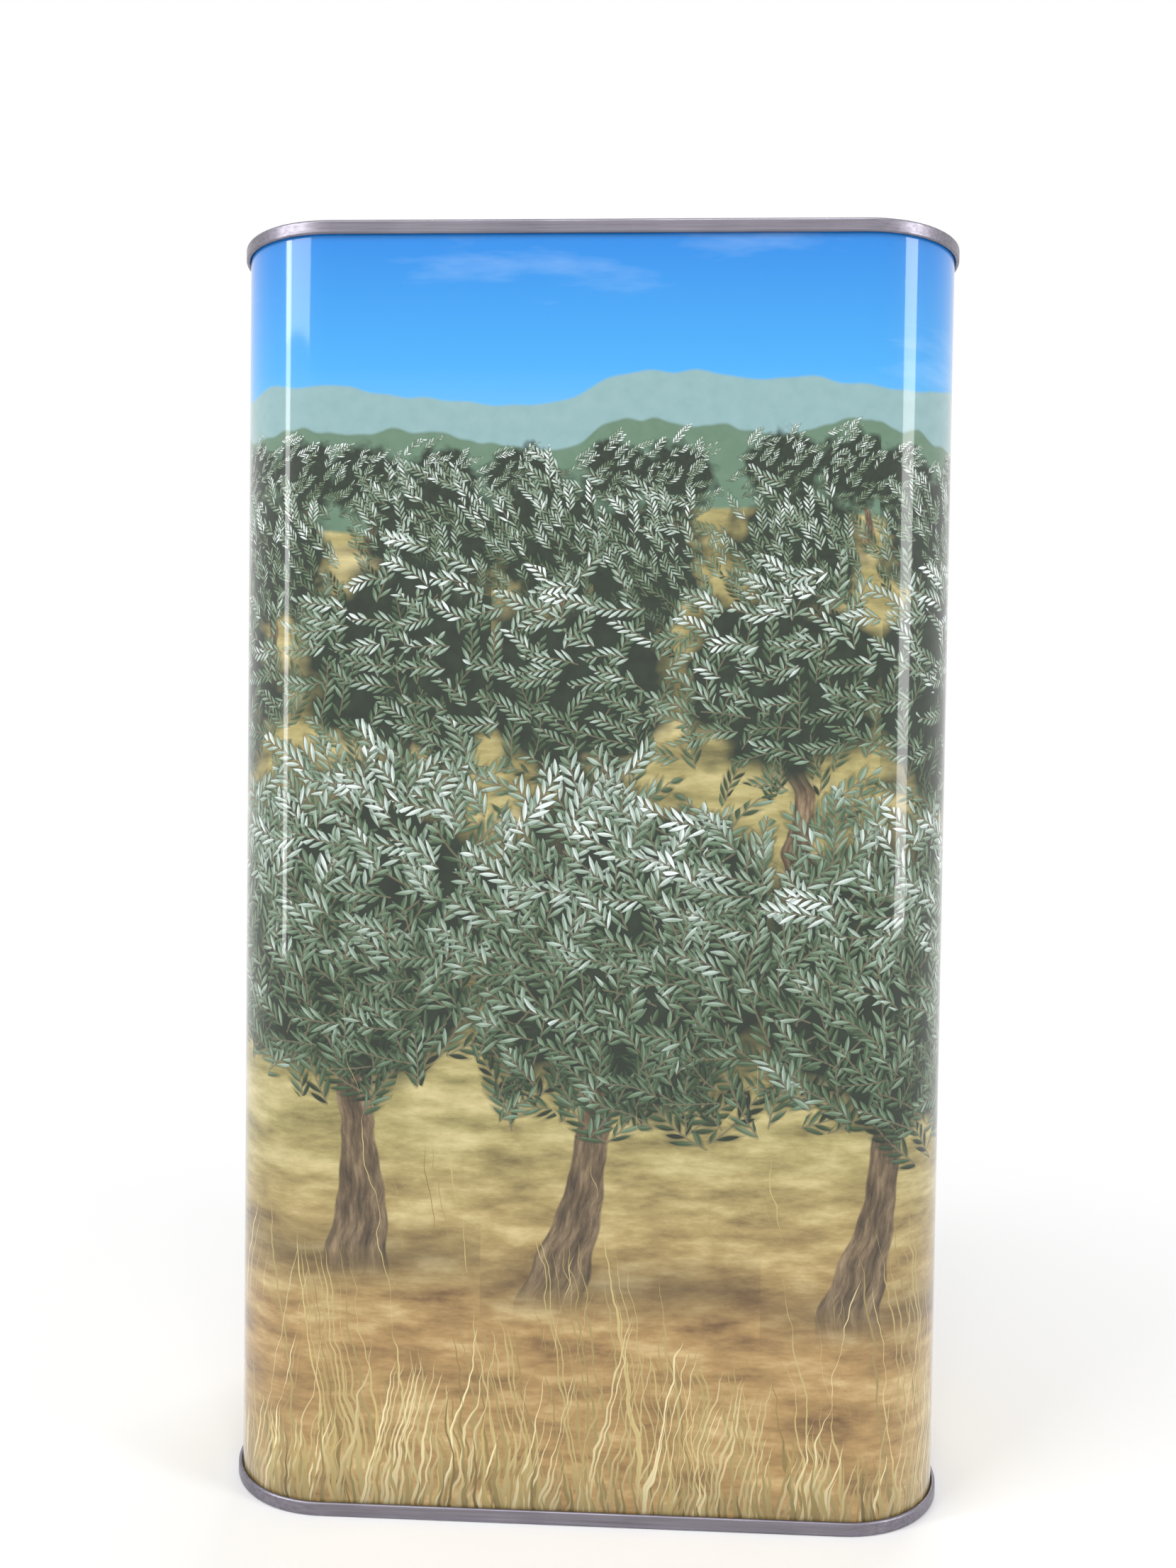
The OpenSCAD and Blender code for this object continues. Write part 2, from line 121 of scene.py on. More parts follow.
# %% Sizes of the wall
rim_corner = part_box("bottom_end")[1]
HALF_W_MM, HALF_D_MM = rim_corner.x / MM, rim_corner.y / MM
PLATE_MM = 0.28
OVERHANG_MM = 0.9  # how far the seams stand proud of the wall
RIM_R_MM = 22.0
WALL_R_MM = RIM_R_MM - OVERHANG_MM
WALL_FOOT_MM, WALL_TOP_MM = 1.2, 255.8
WALL_MM = WALL_TOP_MM - WALL_FOOT_MM
FLAT_W_MM = 2 * (HALF_W_MM - RIM_R_MM)
FLAT_D_MM = 2 * (HALF_D_MM - RIM_R_MM)
QUARTER_MM = math.pi / 2 * WALL_R_MM
PERIMETER_MM = 2 * (FLAT_W_MM + FLAT_D_MM) + 4 * QUARTER_MM
print(f"wall: {PERIMETER_MM:.1f} mm round, {WALL_MM:.1f} mm high")


# %% Plan of the wall
def rotated(x, y, angle):
    """The point turned about the origin."""
    return x * math.cos(angle) - y * math.sin(angle), x * math.sin(angle) + y * math.cos(angle)


def plan_point(u):
    """The place on the wall's outer face at a distance u from the middle of the front, walking right,
    with its outward normal and how far it is from a corner, 0 on one and 1 in a face's middle."""
    u %= PERIMETER_MM
    turn = 0
    for side, length in enumerate([FLAT_W_MM / 2, FLAT_D_MM, FLAT_W_MM, FLAT_D_MM, FLAT_W_MM / 2]):
        half_x, half_y = FLAT_W_MM / 2, FLAT_D_MM / 2 + WALL_R_MM
        if side % 2:
            half_x, half_y = FLAT_D_MM / 2, FLAT_W_MM / 2 + WALL_R_MM
        if u <= length:
            x = u if side == 0 else u - half_x
            return rotated(x, -half_y, turn), rotated(0, -1, turn), 1 - (abs(x) / half_x) ** 2
        u -= length
        if u <= QUARTER_MM and side < 4:
            angle = u / WALL_R_MM
            nx, ny = math.sin(angle), -math.cos(angle)
            x, y = half_x + WALL_R_MM * nx, -half_y + WALL_R_MM + WALL_R_MM * ny
            return rotated(x, y, turn), rotated(nx, ny, turn), 0.0
        u -= QUARTER_MM
        turn += math.pi / 2
    return (0.0, -HALF_D_MM + OVERHANG_MM), (0.0, -1.0), 1.0


print("wall: the middle of the front is at", plan_point(0)[0], "mm")

# %% Real waviness
FACE_BOW_MM = 0.16
RIPPLE_MM, RIPPLE_LONG_MM = 0.09, 46.0
SMALL_MM, SMALL_LONG_MM, SMALL_SHIFT = 0.035, 17.0, Vector((9, 4, 2))
SEAM_HOLD_MM = 6  # the seams hold the small ripples still over this height
CORNER_SHARE = 0.35  # a corner is stiffer than a face, and ripples by this share
RIPPLE_SHARE = 0.4


def sag(x, y, z, share):
    """How far the plate stands in or out at a place. It dies away at both seams, which hold it."""
    held = max(0.0, math.sin(math.pi * (z - WALL_FOOT_MM) / WALL_MM)) ** 0.5
    free = max(0.0, min(1.0, (z - WALL_FOOT_MM) / SEAM_HOLD_MM, (WALL_TOP_MM - z) / SEAM_HOLD_MM))
    place = Vector((x, y, z))
    ripple = RIPPLE_MM * noise.noise(place / RIPPLE_LONG_MM)
    small = SMALL_MM * noise.noise(place / SMALL_LONG_MM + SMALL_SHIFT)
    bow = held * share * (FACE_BOW_MM + ripple)
    return bow + free * (CORNER_SHARE + (1 - CORNER_SHARE) * share) * (small + RIPPLE_SHARE * ripple)


print(f"wall: the front's middle bows by {sag(0, -HALF_D_MM, WALL_MM / 2, 1):.2f} mm")

# %% Where the wall's points stand
COLUMN_MM, ROW_MM = 1.6, 3.2
WELD_U_MM = PERIMETER_MM - FLAT_W_MM / 2 - QUARTER_MM - FLAT_D_MM / 2
WELD_W_MM, WELD_PROUD_MM = 0.9, 0.08
WELD_CLEAR_MM = 1.2
WELD_STEPS = (-1.1, -0.5, -0.34, 0, 0.34, 0.5, 1.1)  # in widths of the weld


def wall_columns():
    """Distances round the tin: even steps, and closer ones at the weld in the left side's middle."""
    count = round(PERIMETER_MM / COLUMN_MM)
    even = [i * PERIMETER_MM / count for i in range(count)]
    kept = [u for u in even if abs(u - WELD_U_MM) > WELD_CLEAR_MM]
    return sorted(kept + [WELD_U_MM + step * WELD_W_MM for step in WELD_STEPS])


def wall_points(us, zs):
    """The points of the outer face, and then those of the inner face."""
    points = []
    for inward in (0.0, PLATE_MM):
        for u in us:
            (x, y), (nx, ny), share = plan_point(u)
            ridge = WELD_PROUD_MM * max(0.0, 1 - (2 * abs(u - WELD_U_MM) / WELD_W_MM) ** 4)
            for z in zs:
                out = sag(x, y, z, share) + ridge - inward
                points.append(((x + nx * out) * MM, (y + ny * out) * MM, z * MM))
    return points


rows = round(WALL_MM / ROW_MM)
zs = [WALL_FOOT_MM + i * WALL_MM / rows for i in range(rows + 1)]
us = wall_columns()
points = wall_points(us, zs)
print("wall:", len(us), "columns and", len(zs), "rows; the weld is", round(WELD_U_MM, 1), "mm round")


# %% Faces of the wall
def wall_faces(wide, high):
    """A thin closed skin: the outer face, the inner face and two narrow edges. Each of its faces comes
    with its column, and with 1 where it is plain lacquered plate and 0 where it is printed."""
    back = wide * high
    top = high - 1
    faces = []
    for i in range(wide):
        here, beside = i * high, (i + 1) % wide * high
        for k in range(top):
            a, b, c, d = here + k, beside + k, beside + k + 1, here + k + 1
            faces.append(((a, b, c, d), i, 0))
            faces.append(((back + d, back + c, back + b, back + a), i, 1))
        faces.append(((here, back + here, back + beside, beside), i, 1))
        faces.append(((beside + top, back + beside + top, back + here + top, here + top), i, 1))
    return faces


def map_print(mesh, faces, us, zs):
    """The print's map, in metres, with the front's middle at 0 and the weld at both ends."""
    layer = mesh.uv_layers.new(name="print")
    wide, high = len(us), len(zs)
    weld_column = us.index(WELD_U_MM)
    for face, (_, i, lacquered) in zip(mesh.polygons, faces, strict=True):
        face.use_smooth = True
        face.material_index = lacquered
        for corner, vertex in zip(face.loop_indices, face.vertices, strict=True):
            column, row = divmod(vertex % (wide * high), high)
            u = us[column]
            if i == wide - 1 and column == 0:
                u += PERIMETER_MM
            if i >= weld_column and u > WELD_U_MM:
                u -= PERIMETER_MM
            layer.data[corner].uv = (u * MM, zs[row] * MM)


EDGE_ANGLE = math.radians(50)
faces = wall_faces(len(us), len(zs))
mesh = bpy.data.meshes.new("printed_wall")
mesh.from_pydata(points, [], [corners for corners, _, _ in faces])
map_print(mesh, faces, us, zs)
mesh.set_sharp_from_angle(angle=EDGE_ANGLE)
wall = bpy.data.objects.new("printed_wall", mesh)
bpy.context.scene.collection.objects.link(wall)
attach(wall, "tin")
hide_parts("body_shell")
print("wall:", len(points), "points,", len(faces), "faces")

# %% [markdown]
# The design on the wall is offset-printed before the sheet is rolled. Here it is a hillside olive
# grove under a plain sky: rows of round trees that grow towards the viewer, with straw-coloured
# grass and dry soil below. All of it comes from formulas. Leaves stand in pairs on short sprigs, as
# they do on a real olive branch, and one group of nodes draws a whole layer of sprigs: each long
# cell of a scattered pattern holds one sprig, and the point's place in that cell says which leaf
# it is on. A picture could be wrapped round the tin instead, but formulas stay sharp from any
# distance.

# %% Sizes of the printed sprigs
LEAF_MM, LEAF_HALF_MM = 4.2, 0.5
LEAF_SHORTEST, LEAF_VARIES = 0.75, 0.4
LEAF_SIN, LEAF_COS = math.sin(math.radians(34)), math.cos(math.radians(34))
LEAVES_DROPPED = 0.12  # the share of leaves that have fallen off
PAIR_MM = 2.3
TWIG_MM = 15.0
TWIG_TAPER = 0.3
TWIST, BEND_PER_MM = 1.3, 0.06
SPRIG_CELL_MM = (17.0, 5.2, 1.0)
SEED_SHIFT_MM = (37.1, 91.7)  # moves each layer to other cells of the pattern
EDGE_SOFT_MM, SHADE_MM = 0.1, 0.8
TWIG_SOLID_MM, TWIG_EDGE_MM = 0.12, 0.26
ROW_STEP_MM = PAIR_MM * LEAF_SIN
print("sprigs:", TWIG_MM, "mm long, with a pair of leaves every", PAIR_MM, "mm")


# %% Node groups
def new_group(name, inputs, outputs):
    """A node group with sockets of the given kinds, and the sockets seen from inside."""
    group = bpy.data.node_groups.new(name, "ShaderNodeTree")
    for in_out, titles in (("INPUT", inputs), ("OUTPUT", outputs)):
        for title, kind in titles.items():
            group.interface.new_socket(title, in_out=in_out, socket_type="NodeSocket" + kind)
    return group, group.nodes.new("NodeGroupInput").outputs, group.nodes.new("NodeGroupOutput").inputs


print("node groups so far:", len(bpy.data.node_groups))


# %% The place on a sprig
def sprig_place(node, given):
    """Finds the sprig of a point: how far along and across its twig the point is, the sprig's three
    chances, and its own centre."""
    back_turn = node("Math:MULTIPLY", given["Heading"], -1.0)
    turned = node("VectorRotate", {"Vector": given["Place"], "Angle": back_turn}, rotation_type="Z_AXIS")
    scale = node("CombineXYZ", given["Size"], given["Size"], 1.0)
    sized = node("VectorMath:DIVIDE", turned, scale)
    shifts = [node("Math:MULTIPLY", given["Seed"], step) for step in SEED_SHIFT_MM]
    shift = node("CombineXYZ", *shifts, 0.0)
    moved = node("VectorMath:ADD", sized, shift)
    cells = node("VectorMath:DIVIDE", moved, SPRIG_CELL_MM)
    scattered = {"Vector": cells, "Scale": 1.0, "Randomness": 1.0}
    scatter = node("TexVoronoi", scattered, voronoi_dimensions="2D").node.outputs
    spot = node("VectorMath:MULTIPLY", scatter["Position"], SPRIG_CELL_MM)
    chance = [
        node("VectorMath:DOT_PRODUCT", scatter["Color"], axis, out="Value")
        for axis in (X_AXIS, Y_AXIS, Z_AXIS)
    ]
    away = node("VectorMath:SUBTRACT", moved, spot)
    away_x, away_y = [
        node("VectorMath:DOT_PRODUCT", away, axis, out="Value") for axis in (X_AXIS, Y_AXIS)
    ]
    # each sprig is turned a little and its twig is bent
    twist = node("Math:MULTIPLY_ADD", chance[0], TWIST, -TWIST / 2)
    along = node("Math:MULTIPLY_ADD", away_y, twist, away_x)
    across = node("Math:SUBTRACT", away_y, node("Math:MULTIPLY", away_x, twist))
    bend = node("Math:MULTIPLY_ADD", chance[1], BEND_PER_MM, -BEND_PER_MM / 2)
    curve = node("Math:MULTIPLY", node("Math:MULTIPLY", along, along), bend)
    bent = node("Math:SUBTRACT", across, curve)
    there = node("VectorMath:MULTIPLY", node("VectorMath:SUBTRACT", spot, shift), scale)
    centre = node("VectorRotate", {"Vector": there, "Angle": given["Heading"]}, rotation_type="Z_AXIS")
    return along, bent, chance, centre


print("sprig cells:", SPRIG_CELL_MM[:2], "mm")


# %% A layer of sprigs
def sprig_layer():
    """Sprigs of paired leaves. It gives each point's leaf share, the shade round it, and its chances."""
    group, given, made = new_group(
        "sprig layer",
        {"Place": "Vector", "Heading": "Float", "Size": "Float", "Seed": "Float"},
        {
            "Leaf": "Float",
            "Shade": "Float",
            "Twig": "Float",
            "Chance": "Float",
            "Fold": "Float",
            "Centre": "Vector",
            "Sprig": "Float",
        },
    )
    node = partial(add, group)
    along, bent, chance, centre = sprig_place(node, given)
    side, height = node("Math:SIGN", bent), node("Math:ABSOLUTE", bent)
    # the leaves of one side stand half a step beyond those of the other
    staggered = node("Math:MULTIPLY_ADD", side, PAIR_MM / 4, along)
    slant = node(
        "Math:SUBTRACT",
        node("Math:MULTIPLY", staggered, LEAF_SIN),
        node("Math:MULTIPLY", height, LEAF_COS),
    )
    number = node("Math:ROUND", node("Math:DIVIDE", slant, ROW_STEP_MM))
    off_axis = node("Math:MULTIPLY_ADD", number, -ROW_STEP_MM, slant)
    root = node("Math:MULTIPLY", number, PAIR_MM)
    from_root = node("Math:SUBTRACT", staggered, root)
    up_leaf = node("Math:MULTIPLY_ADD", from_root, LEAF_COS, node("Math:MULTIPLY", height, LEAF_SIN))
    which = node("CombineXYZ", number, side, chance[2])
    luck = node("TexWhiteNoise", which, noise_dimensions="3D")
    # a leaf is as long as its luck and its place on the twig say, and lens-shaped
    taper = node("Math:MULTIPLY_ADD", root, -TWIG_TAPER / TWIG_MM, 1.0)
    own = node("Math:MULTIPLY_ADD", luck, LEAF_VARIES, LEAF_SHORTEST)
    length = node("Math:MULTIPLY", own, node("Math:MULTIPLY", taper, LEAF_MM))
    share = node("Math:DIVIDE", up_leaf, length)
    lens = node("Math:MULTIPLY", share, node("Math:SUBTRACT", 1.0, share))
    half_width = node("Math:MULTIPLY", lens, 4 * LEAF_HALF_MM)
    edge = node("Math:SUBTRACT", half_width, node("Math:ABSOLUTE", off_axis))
    on_twig = node("Math:LESS_THAN", node("Math:ABSOLUTE", root), TWIG_MM / 2)
    on_twig = node("Math:MULTIPLY", on_twig, node("Math:GREATER_THAN", luck, LEAVES_DROPPED))
    leaf = node("Math:MULTIPLY", node("MapRange", edge, 0.0, EDGE_SOFT_MM), on_twig)
    shade = node("Math:MULTIPLY", node("MapRange", edge, -SHADE_MM, EDGE_SOFT_MM), on_twig)
    near = node("Math:LESS_THAN", node("Math:ABSOLUTE", along), TWIG_MM / 2)
    twig = node("Math:MULTIPLY", node("MapRange", height, TWIG_EDGE_MM, TWIG_SOLID_MM), near)
    fold = node("Math:SIGN", off_axis)
    outputs = {"Leaf": leaf, "Shade": shade, "Twig": twig, "Chance": luck, "Fold": fold}
    plug_in(group, made, {**outputs, "Centre": centre, "Sprig": chance[2]})
    return group


SPRIGS = sprig_layer()
print("sprig layer:", len(SPRIGS.nodes), "nodes")

# %% [markdown]
# The design is built up like a painting, from the sky forward, and each step lays a colour over
# the result so far. Sky, hills and ground are soft mixtures of colours. Their heights on the tin
# are written in millimetres above its foot.

# %% Sky
SKY_LOW_MM, SKY_TOP_MM = 206.0, 257.0
SKY_BLUES = [(0.0, "#7cc0ea"), (1.0, "#0d78cf"), (0.45, "#3f9fe2")]
CLOUD_PER_MM = (0.012, 0.05, 1.0)
CLOUD_FROM, CLOUD_FULL = 0.55, 0.8
CLOUD_SHARE = 0.28


def sky(node, place, height):
    """Deep blue at the top, paler towards the hills, with faint thin cloud."""
    blue = node("ValToRGB", node("MapRange", height, SKY_LOW_MM, SKY_TOP_MM), stops=SKY_BLUES)
    streaks = node("Mapping", {"Vector": place, "Scale": CLOUD_PER_MM})
    cloud = node("TexNoise", {"Vector": streaks, "Scale": 1.0, "Detail": 5.0, "Roughness": 0.6})
    share = node("Math:MULTIPLY", node("MapRange", cloud, CLOUD_FROM, CLOUD_FULL), CLOUD_SHARE)
    return node("Mix", {0: share, 6: blue, 7: colour("#e4f1fa")}, **MIX_COLOURS)


print("sky:", SKY_TOP_MM - SKY_LOW_MM, "mm from pale to deep blue")

# %% Hills
HILLS = [
    # lowest crest and its range in mm, waves per mm, and the two colours that mottle it
    (214, 22, 0.018, "#8fb0b4", "#7d9fa0"),
    (206, 20, 0.03, "#6b8673", "#54735b"),
]
HILL_EDGE_MM = (-0.2, 0.4)
MOTTLE_PER_MM = 0.35


def hills(node, place, across, height, result):
    """Two far ridges, one before the other, hazy with distance."""
    for low, lift, per_mm, pale, dark in HILLS:
        walked = node("Math:MULTIPLY", across, per_mm)
        line = node("TexNoise", {"W": walked, "Scale": 1.0, "Detail": 3.0}, noise_dimensions="1D")
        crest = node("Math:MULTIPLY_ADD", line, lift, low)
        mask = node("MapRange", node("Math:SUBTRACT", crest, height), *HILL_EDGE_MM)
        mottle = node("TexNoise", {"Vector": place, "Scale": MOTTLE_PER_MM, "Detail": 4.0})
        slope = node("Mix", {0: mottle, 6: colour(pale), 7: colour(dark)}, **MIX_COLOURS)
        result = node("Mix", {0: mask, 6: result, 7: slope}, **MIX_COLOURS)
    return result


print("hills:", len(HILLS), "ridges")

# %% Ground
FIELD_PER_MM = (0.05, 0.16, 1.0)
SOIL_BROWNS = [(0.3, "#6b5030"), (0.75, "#d9c08c"), (0.52, "#aa8a58")]
GRASS_GREENS = [(0.32, "#716a40"), (0.72, "#d3c592"), (0.5, "#a59a64")]
SOIL_MIXED_MM = 40.0
SOIL_TOP_MM, GRASS_FOOT_MM = 58.0, 100.0
BROW_MM, BROW_LIFT_MM, BROW_PER_MM = 190.0, 18.0, 0.01
BROW_EDGE_MM = (-0.3, 0.5)


def ground(node, place, across, height, result):
    """The slope that the grove stands on: dry grass in the light, soil below."""
    stretched = node("Mapping", {"Vector": place, "Scale": FIELD_PER_MM})
    field = node("TexNoise", {"Vector": stretched, "Scale": 1.0, "Detail": 6.0, "Roughness": 0.65})
    soil = node("ValToRGB", field, stops=SOIL_BROWNS)
    grass = node("ValToRGB", field, stops=GRASS_GREENS)
    uneven = node("Math:MULTIPLY_ADD", field, SOIL_MIXED_MM, height)
    grassy = node("MapRange", uneven, SOIL_TOP_MM, GRASS_FOOT_MM)
    slope = node("Mix", {0: grassy, 6: soil, 7: grass}, **MIX_COLOURS)
    walked = node("Math:MULTIPLY", across, BROW_PER_MM)
    line = node("TexNoise", {"W": walked, "Scale": 1.0, "Detail": 2.0}, noise_dimensions="1D")
    brow = node("Math:MULTIPLY_ADD", line, BROW_LIFT_MM, BROW_MM)
    mask = node("MapRange", node("Math:SUBTRACT", brow, height), *BROW_EDGE_MM)
    return node("Mix", {0: mask, 6: result, 7: slope}, **MIX_COLOURS)


print("ground: its brow is", BROW_MM, "to", BROW_MM + BROW_LIFT_MM, "mm up")

# %% [markdown]
# A row of trees is worked out along the tin: a one-dimensional scattered pattern gives each tree
# its trunk's place, and the crown is a lumpy disc round it. A sprig is drawn only if its own centre
# lies in the crown, so that leaves overhang the edge whole instead of being cut. The trees of a row
# are alike in all but size, so their measures are shares of the crown's radius.

# %% Crowns
TREE_SCATTER = 0.55
CROWN_DOWN, CROWN_RISES = 0.17, 0.35
CROWN_WIDE, CROWN_VARIES = 0.82, 0.3
CROWN_SQUASH = 1.12
LUMPS, LUMP_DEPTH = 3.0, 0.75


def crown_share(node, place, spacing, middle, radius, shift):
    """From 1 deep inside the row's crowns to below 0 outside, with each tree's chance, and the way
    across and up from the crown's middle."""
    across, height = [
        node("VectorMath:DOT_PRODUCT", place, axis, out="Value") for axis in (X_AXIS, Y_AXIS)
    ]
    along = node("Math:MULTIPLY_ADD", across, 1 / spacing, shift)
    scattered = {"W": along, "Scale": 1.0, "Randomness": TREE_SCATTER}
    tree_row = node("TexVoronoi", scattered, voronoi_dimensions="1D").node.outputs
    chance = [
        node("VectorMath:DOT_PRODUCT", tree_row["Color"], axis, out="Value")
        for axis in (X_AXIS, Y_AXIS, Z_AXIS)
    ]
    dx = node("Math:MULTIPLY", node("Math:SUBTRACT", along, tree_row["W"]), spacing)
    centre = node("Math:MULTIPLY_ADD", chance[0], radius * CROWN_RISES, middle - radius * CROWN_DOWN)
    dz = node("Math:MULTIPLY", node("Math:SUBTRACT", height, centre), CROWN_SQUASH)
    wide = node("Math:MULTIPLY_ADD", chance[1], radius * CROWN_VARIES, radius * CROWN_WIDE)
    far = node("VectorMath:LENGTH", node("CombineXYZ", dx, dz, 0.0), out="Value")
    lumps = node("TexNoise", {"Vector": place, "Scale": LUMPS / radius, "Detail": 2.0})
    lumpy = node("Math:MULTIPLY_ADD", lumps, LUMP_DEPTH, -LUMP_DEPTH / 2)
    edge = node("Math:ADD", 1.0, lumpy)
    share = node("Math:SUBTRACT", edge, node("Math:DIVIDE", far, wide))
    return share, chance[2], dx, dz


print("crowns:", CROWN_WIDE, "to", round(CROWN_WIDE + CROWN_VARIES, 2), "of their row's radius")

# %% Trunks and their shadows
LEAN = 0.3
SWAY, SWAYS = 0.3, 1.6
TRUNK_NECK, TRUNK_FOOT = 1.05, 1.7
TRUNK_THIN, TRUNK_THICK = 0.075, 0.15
TRUNK_EDGE_MM = (-0.1, 0.3)
TRUNK_TOP = (0.2, 0.3)
TRUNK_END = (1.76, 1.56)
BARK_LINES, BARK_LONG = 8, 1.4
BARKS = [(0.32, "#2c241b"), (0.72, "#a08a6c"), (0.5, "#64543f")]
SHADOW_DOWN, SHADOW_TALL = 1.62, 0.2
SHADOW_OUTER, SHADOW_INNER = 1.05, 0.3
SHADOW_SHARE = 0.55


def trunks(node, height, radius, chance, dx, dz, result):
    """Leaning tapered posts under the crowns, with bark in long dark grooves, over soft shadows."""
    lean = node("Math:MULTIPLY_ADD", chance, LEAN, -LEAN / 2)
    swayed = {"W": node("Math:MULTIPLY", height, SWAYS / radius), "Scale": 1.0}
    sway = node("TexNoise", swayed, noise_dimensions="1D")
    leaning = node("Math:ADD", dx, node("Math:MULTIPLY", dz, lean))
    swaying = node("Math:MULTIPLY_ADD", sway, radius * SWAY, -radius * SWAY / 2)
    bent = node("Math:ADD", leaning, swaying)
    thick = (-TRUNK_NECK * radius, -TRUNK_FOOT * radius, radius * TRUNK_THIN, radius * TRUNK_THICK)
    inside = node("Math:SUBTRACT", node("MapRange", dz, *thick), node("Math:ABSOLUTE", bent))
    trunk = node("MapRange", inside, *TRUNK_EDGE_MM)
    top, foot = [node("MapRange", dz, *(-at * radius for at in ends)) for ends in (TRUNK_TOP, TRUNK_END)]
    trunk = node("Math:MULTIPLY", trunk, node("Math:MULTIPLY", top, foot))
    grooves = node("Math:MULTIPLY", bent, BARK_LINES / radius)
    bark_place = node("CombineXYZ", grooves, node("Math:MULTIPLY", height, BARK_LONG / radius), 0.0)
    bark = node("TexNoise", {"Vector": bark_place, "Scale": 2.2, "Detail": 5.0, "Roughness": 0.7})
    wood = node("ValToRGB", bark, stops=BARKS)
    below = node("Math:ABSOLUTE", node("Math:ADD", dz, SHADOW_DOWN * radius))
    flat = node("MapRange", below, radius * SHADOW_TALL, 0.0)
    beside = node("Math:ABSOLUTE", dx)
    wide = node("MapRange", beside, radius * SHADOW_OUTER, radius * SHADOW_INNER)
    shadow = node("Math:MULTIPLY", node("Math:MULTIPLY", flat, wide), SHADOW_SHARE)
    result = node("Mix", {0: shadow, 6: result, 7: colour("#3a3122")}, **MIX_COLOURS)
    return node("Mix", {0: trunk, 6: result, 7: wood}, **MIX_COLOURS)


print("trunks:", 2 * TRUNK_THIN, "of a crown's radius thick at the neck, and twice that at the foot")

# %% [markdown]
# Light falls on the crowns from above. A leaf is paler the higher it hangs, the nearer its layer is,
# and by the luck of its clump, its sprig and itself, and the two halves of a folded leaf differ a
# little. A colour ramp turns that sum into grey-greens.

# %% Leaves of one layer
SPRIG_BIGGEST, SPRIG_SHRINKS = 1.12, 0.2
KEPT_FROM, KEPT_STEP = 0.02, 0.02
SHADE_SHARE, TWIG_SHARE = 0.5, 0.8
LIT_BASE, LIT_BY_LAYER, LIT_BY_HEIGHT = 0.07, 0.36, 0.26
LIT_BY_LUCK, LIT_BY_FOLD, LIT_BY_SPRIG = 0.34, 0.06, 0.14
LIT_BY_CLUMP, CLUMP_DARKEST, CLUMPS, CLUMP_SHIFT = 0.9, 0.5, 5.5, (5.0, 31.0, 0.0)
LEAF_GREENS = [(0.08, "#1c2718"), (1.0, "#dde6e3"), (0.36, "#40563a"), (0.6, "#71886e"), (0.82, "#a5b7ab")]


def leaves(node, place, row, shift, layer, heading, seed, result):
    """One layer of sprigs on a row of trees, with the shade that it casts on the layer below."""
    spacing, middle, radius, size, layers = row
    step = (layer + 1) / layers
    sized = size * (SPRIG_BIGGEST - SPRIG_SHRINKS * step)
    given = {"Place": place, "Heading": heading, "Size": sized, "Seed": float(seed)}
    sprig = node("Group", given, node_tree=SPRIGS).node.outputs
    here, _, _, up = crown_share(node, sprig["Centre"], spacing, middle, radius, shift)
    kept = node("Math:GREATER_THAN", here, KEPT_FROM + KEPT_STEP * layer)
    shade = node("Math:MULTIPLY", node("Math:MULTIPLY", sprig["Shade"], kept), SHADE_SHARE)
    result = node("Mix", {0: shade, 6: result, 7: colour("#1b241b")}, **MIX_COLOURS)
    twig = node("Math:MULTIPLY", node("Math:MULTIPLY", sprig["Twig"], kept), TWIG_SHARE)
    result = node("Mix", {0: twig, 6: result, 7: colour("#6b6650")}, **MIX_COLOURS)
    lit = node("Math:MULTIPLY_ADD", up, LIT_BY_HEIGHT / radius, LIT_BASE + LIT_BY_LAYER * step)
    lit = node("Math:MULTIPLY_ADD", sprig["Chance"], LIT_BY_LUCK, lit)
    lit = node("Math:MULTIPLY_ADD", sprig["Fold"], LIT_BY_FOLD, lit)
    clump_place = node("VectorMath:ADD", place, CLUMP_SHIFT)
    clump = node("TexNoise", {"Vector": clump_place, "Scale": CLUMPS / radius, "Detail": 2.0})
    lit = node("Math:MULTIPLY_ADD", clump, LIT_BY_CLUMP, node("Math:SUBTRACT", lit, CLUMP_DARKEST))
    lit = node("Math:MULTIPLY_ADD", sprig["Sprig"], LIT_BY_SPRIG, lit)
    leaf = node("ValToRGB", lit, stops=LEAF_GREENS)
    share = node("Math:MULTIPLY", sprig["Leaf"], kept)
    return node("Mix", {0: share, 6: result, 7: leaf}, **MIX_COLOURS)


print("leaves:", len(LEAF_GREENS), "greens from shade to light")

# %% Blades of straw
STRAW = [
    # lean, width in mm, height in mm, darkest and palest colour
    (0.16, 1.0, 62, "#857442", "#cbb97f"),
    (-0.22, 0.9, 40, "#a48c55", "#efe2b4"),
    (0.05, 1.3, 20, "#77683c", "#cdb877"),
]
WAVE_PER_MM, WAVE_MM = 0.09, 5.0
BLADE_SHORTEST, BLADE_VARIES = 0.35, 1.3
PATCH_PER_MM = 0.035
PATCH_HEIGHTS = (0.35, 0.65, 0.35, 1.25)
BLADE_HALF, BLADE_SOFT = 0.42, 0.08
BLADES_DROPPED = 0.25
ROOT_MM, ROOT_DARK = 14.0, 0.55


